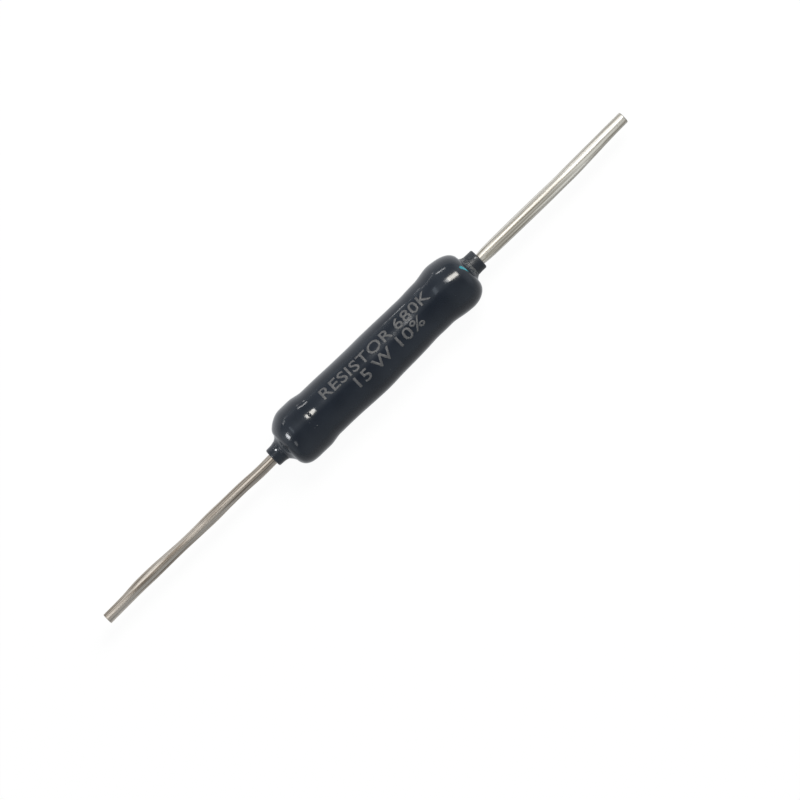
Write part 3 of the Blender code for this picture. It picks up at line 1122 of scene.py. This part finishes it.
    def profile_mesh(self) -> bpy.types.Mesh:
        """Closed profile of the coat for the turning tree.

        Returns:
            Its mesh, with the "skin" attribute.
        """
        outside = [(x, r * self.round_share) for x, r in self.skin_outline()]
        inside = [(-x, r) for x, r in self.cavity_half(self.left)]
        inside += reversed(self.cavity_half(self.right))
        points = [(x * MM, self.lean_at(x) * MM, r * MM) for x, r in outside]
        points += [(x * MM, 0.0, r * MM) for x, r in inside]
        left_tip, right_tip = self.left.collar_tip(), self.right.collar_tip()
        calm = self.right.edge_round
        past = [min(right_tip - x, x + left_tip) - calm for x, _ in outside]
        share = [smooth_step(distance / self.calm_length) for distance in past]
        return points_mesh("coat_profile", points, {"skin": share + [0.0] * len(inside)})

    def build_coat(self, effects: Effects) -> Piece:
        """Make the coat.

        Args:
            effects: The shared shader groups.

        Returns:
            The finished piece, placed and riding.
        """
        coat = add_object("dipped_coat", self.profile_mesh())
        values = {
            "Sides": self.sides,
            "Unevenness": self.unevenness * MM,
            "Patch Size": self.patch_size * MM,
            "Seed": self.seed,
            "Material": self.skin.material(effects),
        }
        apply_tree(coat, turned_skin_tree(), values)
        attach(coat, BODY)
        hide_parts("coating")
        return coat

    def rays_to(self, spots: Sequence[Spot]) -> list[Ray]:
        """Rays straight down to grains on the upper side, given as (x, y, radius)."""
        down = Vector((0, 0, -1))
        return [(Vector((x, y, self.ray_start)), down, spread) for x, y, spread in spots]

    def stray_rays(self) -> list[Ray]:
        """Rays that find places for grains under the body and round its sides.

        Returns:
            The start and way of each ray, and the grain's radius.
        """
        chance = random.Random(self.stray_seed)
        first, last = self.stray_angles
        rays = []
        for _ in range(self.stray_nibs):
            angle = chance.uniform(math.radians(first), math.radians(last))
            x = chance.uniform(-self.stray_reach, self.stray_reach)
            way = Vector((0, -math.sin(angle), -math.cos(angle)))
            start = Vector((x, 0, 0)) - way * self.ray_start
            rays.append((start, way, chance.uniform(*self.stray_spread)))
        return rays

    def build_grains(
        self, name: str, coat: Piece, rays: list[Ray], tree: NodeTree, material: Material
    ) -> Piece:
        """Set small grains on the skin.

        Args:
            name: Name of the piece.
            coat: The finished coat.
            rays: A ray towards the skin for each grain, with the grain's radius.
            tree: The tree that makes a dome at each point.
            material: What the grains look like.

        Returns:
            The finished piece.
        """
        skin = surface_of(coat)
        points, outwards, spreads = [], [], []
        for start, way, spread in rays:
            place, normal, _, _ = skin.ray_cast(start * MM, way)
            points.append(place - normal * spread * self.grain_sunk * MM)
            outwards.append(normal)
            spreads.append(spread * MM)
        mesh = points_mesh(name, points, {"outwards": outwards, "spread": spreads}, False)
        grains = add_object(name, mesh)
        values = {"Sides": self.grain_sides, "Flatness": self.grain_flatness, "Material": material}
        apply_tree(grains, tree, values)
        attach(grains, BODY)
        return grains

    def build(self, effects: Effects) -> list[Piece]:
        """Make the coat and the grains on it.

        Args:
            effects: The shared shader groups.

        Returns:
            The coat, the grains under it and the pale grains on it, which are painted glints.
        """
        coat = self.build_coat(effects)
        tree = grain_tree()
        rays = self.rays_to(self.nibs) + self.stray_rays()
        nibs = self.build_grains("coat_nibs", coat, rays, tree, self.nib_skin.material(effects))
        rays = self.rays_to(self.dust_and_glints)
        dust_and_glints = self.build_grains("glint_grains", coat, rays, tree, self.glint_skin.material(effects))
        return [coat, nibs, dust_and_glints]


@dataclass(frozen=True)
class Lead:
    """One tinned wire, from its weld on the cap to its cut end.

    The bend and the tinned radius are read by the share of the way along the free wire.
    """

    side: Side
    free_length: float
    collar_tip: float
    bend: Knots
    tinned_radius: Knots
    end_round: float
    finish: TinnedWire
    radius: float = 0.5
    foot_radius: float = 0.75
    foot_straight: float = 0.2
    foot_steps: tuple[float, ...] = (0.1, 0.2, 0.3, 0.4, 0.5, 0.65, 0.8, 1.0)
    sides: int = 64
    steps: int = 110
    end_steps: int = 6
    sharp_angle: float = 50.0

    def route(self) -> tuple[list[tuple], list[float]]:
        """Points along the wire and its radius at each.

        Returns:
            The points in metres and the radii in metres.
        """
        sections = [(WELD_PLANE, 0.0, self.foot_radius)]
        for share in self.foot_steps:
            past = max(share - self.foot_straight, 0) / (1 - self.foot_straight)
            flare = (self.foot_radius - self.radius) * (1 - past) ** 2
            sections.append((WELD_PLANE + WELD_FOOT_LENGTH * share, 0.0, self.radius + flare))
        for step in range(self.steps + 1):
            share = step / self.steps
            x = self.collar_tip + self.free_length * share
            y = smooth_curve(self.bend, share)
            sections.append((x, y, smooth_curve(self.tinned_radius, share)))
        last_x, last_y, last_radius = sections.pop()
        for step in range(self.end_steps + 1):
            angle = math.radians(90 / self.end_steps * step)
            back = self.end_round * (1 - math.sin(angle))
            inwards = self.end_round * (1 - math.cos(angle))
            sections.append((last_x - back, last_y, last_radius - inwards))
        points = [(x * self.side.value * MM, y * MM, 0.0) for x, y, _ in sections]
        return points, [radius * MM for _, _, radius in sections]

    def build(self, tree: NodeTree, effects: Effects) -> Piece:
        """Make the lead.

        Args:
            tree: The sweeping tree.
            effects: The shared shader groups.

        Returns:
            The finished piece, placed and riding.
        """
        points, radii = self.route()
        name = self.side.name.lower()
        route = points_mesh("route", points, {"thickness": radii})
        lead = add_object("tinned_lead_" + name, route)
        apply_tree(lead, tree, {"Sides": self.sides, "Material": self.finish.material(effects)})
        lead.data.set_sharp_from_angle(angle=math.radians(self.sharp_angle))
        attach(lead, BODY)
        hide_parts("lead_" + name)
        return lead


def both_leads(body: DippedBody) -> dict[Lit, Lead]:
    """The two wires, each with its own length, bend, tin and finish.

    Args:
        body: The coat's sizes.

    Returns:
        The wires, by the lamps that light them.
    """
    left = Lead(
        side=Side.LEFT,
        free_length=19.7,
        collar_tip=body.left.collar_tip(),
        bend=(
            (0.0, 0.0), (0.08, -0.03), (0.19, 0.045), (0.36, 0.028), (0.5, 0.024),
            (0.62, 0.07), (0.71, 0.1), (0.8, 0.11), (0.88, 0.035), (1.0, -0.02),
        ),
        tinned_radius=(
            (0.0, 0.505), (0.28, 0.515), (0.36, 0.545), (0.45, 0.505), (0.54, 0.485),
            (0.62, 0.52), (0.71, 0.57), (0.8, 0.56), (0.88, 0.505), (1.0, 0.5),
        ),
        end_round=0.03,
        finish=TinnedWire(
            "dull_tinned_wire",
            (0.88, 0.8, 0.705),
            roughness=0.3,
            metallic=0.7,
            dull_colour=(0.23, 0.175, 0.125),
            line_length=11.0,
            seed=1.0,
        ),
    )
    right = Lead(
        side=Side.RIGHT,
        free_length=17.28,
        collar_tip=body.right.collar_tip(),
        bend=(
            (0.0, 0.0), (0.2, 0.0), (0.5, 0.0), (0.64, 0.03), (0.8, 0.12), (0.9, 0.18),
            (1.0, 0.21),
        ),
        tinned_radius=(
            (0.0, 0.53), (0.045, 0.6), (0.17, 0.635), (0.44, 0.64), (0.54, 0.625),
            (0.64, 0.635), (0.74, 0.605), (0.84, 0.57), (1.0, 0.54),
        ),
        end_round=0.08,
        finish=TinnedWire(
            "bright_tinned_wire",
            (0.86, 0.82, 0.75),
            roughness=0.2,
            metallic=0.55,
            dull_colour=(0.27, 0.235, 0.18),
            line_length=20.0,
            seed=2.0,
        ),
    )
    return {Lit.LEFT_LEAD: left, Lit.RIGHT_LEAD: right}


@dataclass(frozen=True)
class MarkingRow:
    """One stamped row of generic ratings on the waist of the coat."""

    name: str
    words: str
    start: float
    end: float
    foot_angle: float
    height: float = 1.08
    thickness: float = 0.012
    sunk: float = 0.006
    letter_space: float = 1.06
    word_space: float = 0.75
    stroke_gain: float = 0.014
    curve_steps: int = 6
    cut_along: float = 0.3
    cut_across: float = 0.09
    weld: float = 0.0005
    ray_start: float = 4.0

    def flat_letters(self) -> bpy.types.Mesh:
        """The row as flat letters on z = 0, filling the row's length and height.

        Returns:
            Their mesh in millimetres, with its foot on y = 0 and its start on x = 0.
        """
        text = bpy.data.curves.new(self.name, "FONT")
        text.body = self.words
        text.space_character = self.letter_space
        text.space_word = self.word_space
        text.offset = self.stroke_gain
        text.resolution_u = self.curve_steps
        text.fill_mode = "FRONT"
        holder = add_object(self.name + "_text", text)
        mesh = evaluated_mesh(holder)
        bpy.data.objects.remove(holder)
        xs = [vertex.co.x for vertex in mesh.vertices]
        ys = [vertex.co.y for vertex in mesh.vertices]
        wide = (self.end - self.start) / (max(xs) - min(xs))
        tall = self.height / (max(ys) - min(ys))
        for vertex, x, y in zip(mesh.vertices, xs, ys):
            vertex.co = ((x - min(xs)) * wide, (y - min(ys)) * tall, 0.0)
        return mesh

    def solid_letters(self) -> bpy.types.Mesh:
        """The letters cut fine enough to bend round the coat, and given a thickness.

        Returns:
            Their closed mesh in millimetres.
        """
        flat = self.flat_letters()
        shape = bmesh.new()
        shape.from_mesh(flat)
        bmesh.ops.remove_doubles(shape, verts=shape.verts, dist=self.weld)
        length = self.end - self.start
        for axis, span, step in ((1, self.height, self.cut_across), (0, length, self.cut_along)):
            for cut in range(1, int(span / step) + 1):
                at, facing = Vector(), Vector()
                at[axis] = cut * step
                facing[axis] = 1.0
                every = shape.verts[:] + shape.edges[:] + shape.faces[:]
                bmesh.ops.bisect_plane(shape, geom=every, plane_co=at, plane_no=facing)
        front = bmesh.ops.extrude_face_region(shape, geom=shape.faces[:])["geom"]
        for part in front:
            if isinstance(part, bmesh.types.BMVert):
                part.co.z += self.thickness
        bmesh.ops.recalc_face_normals(shape, faces=shape.faces)
        shape.to_mesh(flat)
        shape.free()
        return flat

    def build(self, coat: Piece, body: DippedBody, material: Material) -> Piece:
        """Bend the row on to the coat.

        Args:
            coat: The finished coat.
            body: The coat's sizes.
            material: The ink.

        Returns:
            The finished piece, placed and riding.
        """
        mesh = self.solid_letters()
        skin = surface_of(coat)
        for vertex in mesh.vertices:
            x = self.start + vertex.co.x
            radius = body.radius_between_shoulders(x) * body.round_share
            angle = math.radians(self.foot_angle) + vertex.co.y / radius
            outwards = Vector((0.0, math.sin(angle), math.cos(angle)))
            middle = Vector((x, body.lean_at(x), 0.0)) * MM
            place, _, _, _ = skin.ray_cast(middle + outwards * self.ray_start * MM, -outwards)
            vertex.co = place + outwards * ((vertex.co.z - self.sunk) * MM)
        mesh.materials.clear()
        mesh.materials.append(material)
        row = add_object(self.name, mesh)
        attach(row, BODY)
        return row


@dataclass(frozen=True)
class InnerWorks:
    """The core, film, bands and caps inside the coat, which keep their solids."""

    ceramic: FiredSurface = FiredSurface("fired_ceramic", (0.82, 0.8, 0.74), roughness=0.55)
    glaze: FiredSurface = FiredSurface(
        "resistive_glaze_film", (0.045, 0.04, 0.038), roughness=0.4
    )
    band: FiredSurface = FiredSurface(
        "fired_silver", (0.72, 0.71, 0.68), roughness=0.45, metallic=1.0
    )
    cap: TinnedWire = TinnedWire(
        "plated_steel", (0.66, 0.65, 0.62), roughness=0.25, metallic=1.0
    )

    def dress(self, nodes: dict, effects: Effects) -> None:
        """Give each solid its material.

        Args:
            nodes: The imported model's solids by name.
            effects: The shared shader groups.
        """
        kinds = {
            "ceramic_core": (self.ceramic.material(effects), Slot.CERAMIC),
            "resistive_film": (self.glaze.material(effects), Slot.GLAZE),
            "contact_band": (self.band.material(effects), Slot.BAND),
            "end_cap": (self.cap.material(effects), Slot.CAP),
        }
        for name, node in nodes.items():
            kind = name.removesuffix("_left").removesuffix("_right")
            if kind in kinds:
                material, slot = kinds[kind]
                node.data.materials.clear()
                node.data.materials.append(material)
                log.info("dressed %s", name)


@dataclass(frozen=True)
class SoftBox:
    """A rectangular soft lamp, placed by the way in which it lies from a spot on the X axis.

    Its angles are from straight up, and its width and height are in degrees.
    """

    name: str
    lean_x: float
    lean_y: float
    width: float
    height: float
    brightness: float
    colour: Colour = (1.0, 1.0, 1.0)
    lit: Lit = Lit.COAT
    distance: float = 300.0
    aim: float = 0.0

    def build(self, receivers: bpy.types.Collection) -> None:
        """Hang the lamp.

        Args:
            receivers: The pieces that it lights.
        """
        towards = Vector(
            (math.tan(math.radians(self.lean_x)), math.tan(math.radians(self.lean_y)), 1.0)
        ).normalized()
        wide = 2 * self.distance * MM * math.tan(math.radians(self.width / 2))
        tall = 2 * self.distance * MM * math.tan(math.radians(self.height / 2))
        lamp = bpy.data.lights.new(self.name, "AREA")
        lamp.shape = "RECTANGLE"
        lamp.size = wide
        lamp.size_y = tall
        lamp.color = self.colour
        lamp.energy = self.brightness * math.pi * wide * tall
        holder = add_object(self.name, lamp)
        holder.visible_camera = False
        across = Vector((1, 0, 0)) - towards * towards.x
        across.normalize()
        turned = Matrix((across, towards.cross(across), towards)).transposed().to_4x4()
        place = (Vector((self.aim, 0.0, 0.0)) + towards * self.distance) * MM
        holder.matrix_world = Matrix.Translation(place) @ turned
        holder.light_linking.receiver_collection = receivers


# Each lamp's name, its leans along X and Y, its width and height, and its brightness
LAMPS = (
    SoftBox("key", 29.0, 25.0, 32.0, 15.5, 13.5, (1.0, 0.97, 0.9), Lit.COAT_AND_FLOOR),
    SoftBox("key_edge", 10.0, 25.0, 6.0, 14.0, 6.5),
    SoftBox("cool_fill", -23.0, 30.0, 6.0, 26.0, 1.2, (0.8, 0.9, 1.0)),
    SoftBox("left_lamp", -53.0, 31.0, 10.0, 18.0, 13.0, (0.95, 0.97, 1.0)),
    SoftBox("left_glow", -43.0, -20.0, 10.0, 16.0, 1.4),
    SoftBox("low_front", 43.0, 74.4, 15.0, 3.0, 9.0),
    SoftBox("low_back", -62.5, 77.4, 13.0, 3.0, 6.5),
    SoftBox("horizon_end", -51.0, 83.0, 10.0, 2.0, 2.5),
    SoftBox("horizon_middle", -20.0, 88.2, 3.4, 1.5, 11.0, distance=70.0, aim=8.4),
    SoftBox("right_lead_key", 0.0, 27.0, 50.0, 38.0, 2.5, lit=Lit.RIGHT_LEAD),
    SoftBox("right_lead_side", 0.0, 62.0, 50.0, 28.0, 1.15, lit=Lit.RIGHT_LEAD),
    SoftBox("right_lead_fill", 0.0, -45.0, 50.0, 92.0, 0.54, (0.98, 1.0, 0.97), Lit.RIGHT_LEAD),
    SoftBox("left_lead_key", 0.0, 24.0, 50.0, 44.0, 1.15, lit=Lit.LEFT_LEAD),
    SoftBox("left_lead_side", 0.0, 63.0, 50.0, 30.0, 0.55, lit=Lit.LEFT_LEAD),
    SoftBox("left_lead_fill", 0.0, -22.0, 50.0, 40.0, 0.2, (1.0, 0.93, 0.84), Lit.LEFT_LEAD),
)


@dataclass(frozen=True)
class Studio:
    """Pale floor, soft lamps, sky and the camera that looks straight down.

    The floor's levels are the light that gloss and metal see it give off, with painted shadow
    towards -Y and painted light just to +Y of the object. They and the sky's go from -Y to
    +Y, and the sky is lighter towards both ends of the X axis.
    """

    floor_level: float = -2.66
    floor_half_width: float = 900.0
    floor_tint: Colour = (0.98, 1.0, 1.03)
    floor_reach: float = 40.0
    # Painted light and shadow on the floor as gloss sees it: dark towards -Y for the object's
    # shadow, brightest just to +Y.
    floor_levels: Knots = (
        (-1.0, 0.32), (-0.5, 0.35), (-0.25, 0.4), (-0.15, 0.47), (-0.09, 0.62),
        (0.0, 0.75), (0.15, 0.9), (0.25, 0.75), (0.5, 0.55), (1.0, 0.5),
    )
    paper: float = 0.88
    white: float = 1.04
    white_share: float = 0.92
    sky_colour: Colour = (0.92, 1.0, 1.07)
    sky: Knots = (
        (-1.0, 0.33), (-0.94, 0.31), (-0.87, 0.28), (-0.67, 0.21), (-0.42, 0.14),
        (-0.2, 0.09), (0.08, 0.07), (0.14, 0.16), (0.28, 0.28), (0.42, 0.42),
        (0.5, 0.34), (0.6, 0.27), (0.7, 0.22), (0.8, 0.2), (0.88, 0.22),
        (0.94, 0.27), (0.97, 0.33), (1.0, 0.48),
    )
    ends_from: float = 0.6
    ends_level: float = 0.4
    under_depth: float = 0.02
    camera_place: tuple[float, float, float] = (-1.0975, -3.914, 400.0)
    camera_turn: float = -43.98
    camera_near: float = 1.0
    camera_far: float = 5000.0
    view_width: float = 68.376
    film_width: float = 36.0
    lamps: tuple[SoftBox, ...] = LAMPS

    def floor(self) -> Piece:
        """Lay the floor.

        Returns:
            The floor, marked as stage.
        """
        half = self.floor_half_width * MM
        level = self.floor_level * MM
        corners = [(-half, -half), (half, -half), (half, half), (-half, half)]
        mesh = bpy.data.meshes.new("floor")
        mesh.from_pydata([(x, y, level) for x, y in corners], [], [(0, 1, 2, 3)])
        mesh.materials.append(self.floor_material())
        floor = add_object("floor", mesh)
        return floor

    def floor_material(self) -> Material:
        """White paper that stays white to the camera and keeps the object's shadow.

        Returns:
            The material.
        """
        material = bpy.data.materials.new("white_paper")
        material.use_nodes = True
        tree = Tree(material.node_tree)
        material.node_tree.nodes.remove(material.node_tree.nodes["Principled BSDF"])
        paper = tree.add("ShaderNodeBsdfDiffuse", {"Color": (*[self.paper] * 3, 1.0)})
        rays = tree.add("ShaderNodeLightPath").outputs
        place = tree.add("ShaderNodeTexCoord").outputs["Object"]
        seen = rays["Is Camera Ray"]
        gloss = tree.maths("MAXIMUM", rays["Is Glossy Ray"], rays["Is Transmission Ray"])
        # Painted light and shadow that gloss and metal see on the floor.
        level = tree.levels(tree.split(place)[1], self.floor_reach * MM, self.floor_levels)
        level = tree.maths("MULTIPLY", gloss, level)
        level = tree.maths("MULTIPLY_ADD", seen, self.white, level)
        tint = tree.blend(seen, self.floor_tint, (1.0, 1.0, 1.0))
        shine = tree.add("ShaderNodeEmission", {"Color": tint, "Strength": level})
        share = tree.maths("MAXIMUM", tree.maths("MULTIPLY", seen, self.white_share), gloss)
        both = {0: share, 1: paper.outputs[0], 2: shine.outputs[0]}
        mixed = tree.add("ShaderNodeMixShader", both)
        tree.feed(mixed.outputs[0], material.node_tree.nodes["Material Output"], "Surface")
        return material

    def air(self) -> None:
        """Light from all round: a pale room, brighter towards +Y, at its ends and underneath."""
        world = bpy.data.worlds.new("studio")
        world.use_nodes = True
        bpy.context.scene.world = world
        tree = Tree(world.node_tree)
        x, y, z = tree.split(tree.add("ShaderNodeTexCoord").outputs["Generated"])
        ends = tree.ramp(tree.maths("ABSOLUTE", x), self.ends_from, 1.0, (0.0, self.ends_level))
        level = tree.maths("ADD", tree.levels(y, 1.0, self.sky), ends)
        level = tree.maths("MAXIMUM", level, tree.ramp(z, 0.0, -self.under_depth))
        background = world.node_tree.nodes["Background"]
        tree.feed(level, background, "Strength")
        background.inputs["Color"].default_value = (*self.sky_colour, 1.0)

    def camera(self) -> None:
        """Hang the camera over the resistor, turned as the photograph's frame is."""
        data = bpy.data.cameras.new("camera")
        data.sensor_width = self.film_width
        data.lens = self.film_width * self.camera_place[2] / self.view_width
        data.clip_start = self.camera_near * MM
        data.clip_end = self.camera_far * MM
        holder = add_object("camera", data)
        holder.location = Vector(self.camera_place) * MM
        holder.rotation_euler = (0.0, 0.0, math.radians(self.camera_turn))
        bpy.context.scene.camera = holder

    def build(self, pieces: dict[Lit, list[Piece]]) -> None:
        """Set up the whole studio.

        Args:
            pieces: The pieces that have lamps of their own.
        """
        bpy.context.scene.view_settings.view_transform = "Standard"
        self.air()
        under_key = [*pieces[Lit.COAT], self.floor()]
        receivers = {}
        for lit, members in {**pieces, Lit.COAT_AND_FLOOR: under_key}.items():
            receivers[lit] = bpy.data.collections.new("lit_" + lit.value)
            for member in members:
                receivers[lit].objects.link(member)
        for lamp in self.lamps:
            lamp.build(receivers[lamp.lit])
        self.camera()


def main() -> None:
    """Load the solids, dress them and set up the studio."""
    logging.basicConfig(level=logging.INFO, format="%(name)s: %(message)s")
    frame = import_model()
    effects = Effects()

    body = DippedBody()
    pieces = {Lit.COAT: body.build(effects)}
    coat = pieces[Lit.COAT][0]
    wire_tree = drawn_wire_tree()
    for lit, lead in both_leads(body).items():
        pieces[lit] = [lead.build(wire_tree, effects)]
    ink = StampedInk("stamped_ink", (0.13, 0.128, 0.132), roughness=0.5).material(effects)
    for row in (
        MarkingRow("marking_row_1", "RESISTOR 680K", start=-5.68, end=6.88, foot_angle=10.6),
        MarkingRow("marking_row_2", "15 W 10%", start=-2.78, end=5.09, foot_angle=-19.6),
    ):
        pieces[Lit.COAT].append(row.build(coat, body, ink))
    for members in pieces.values():
        for piece in members:
            log.info("%s: %d faces", piece.name, len(piece.data.polygons))

    InnerWorks().dress(frame["nodes"], effects)
    Studio().build(pieces)


if __name__ == "__main__":
    main()
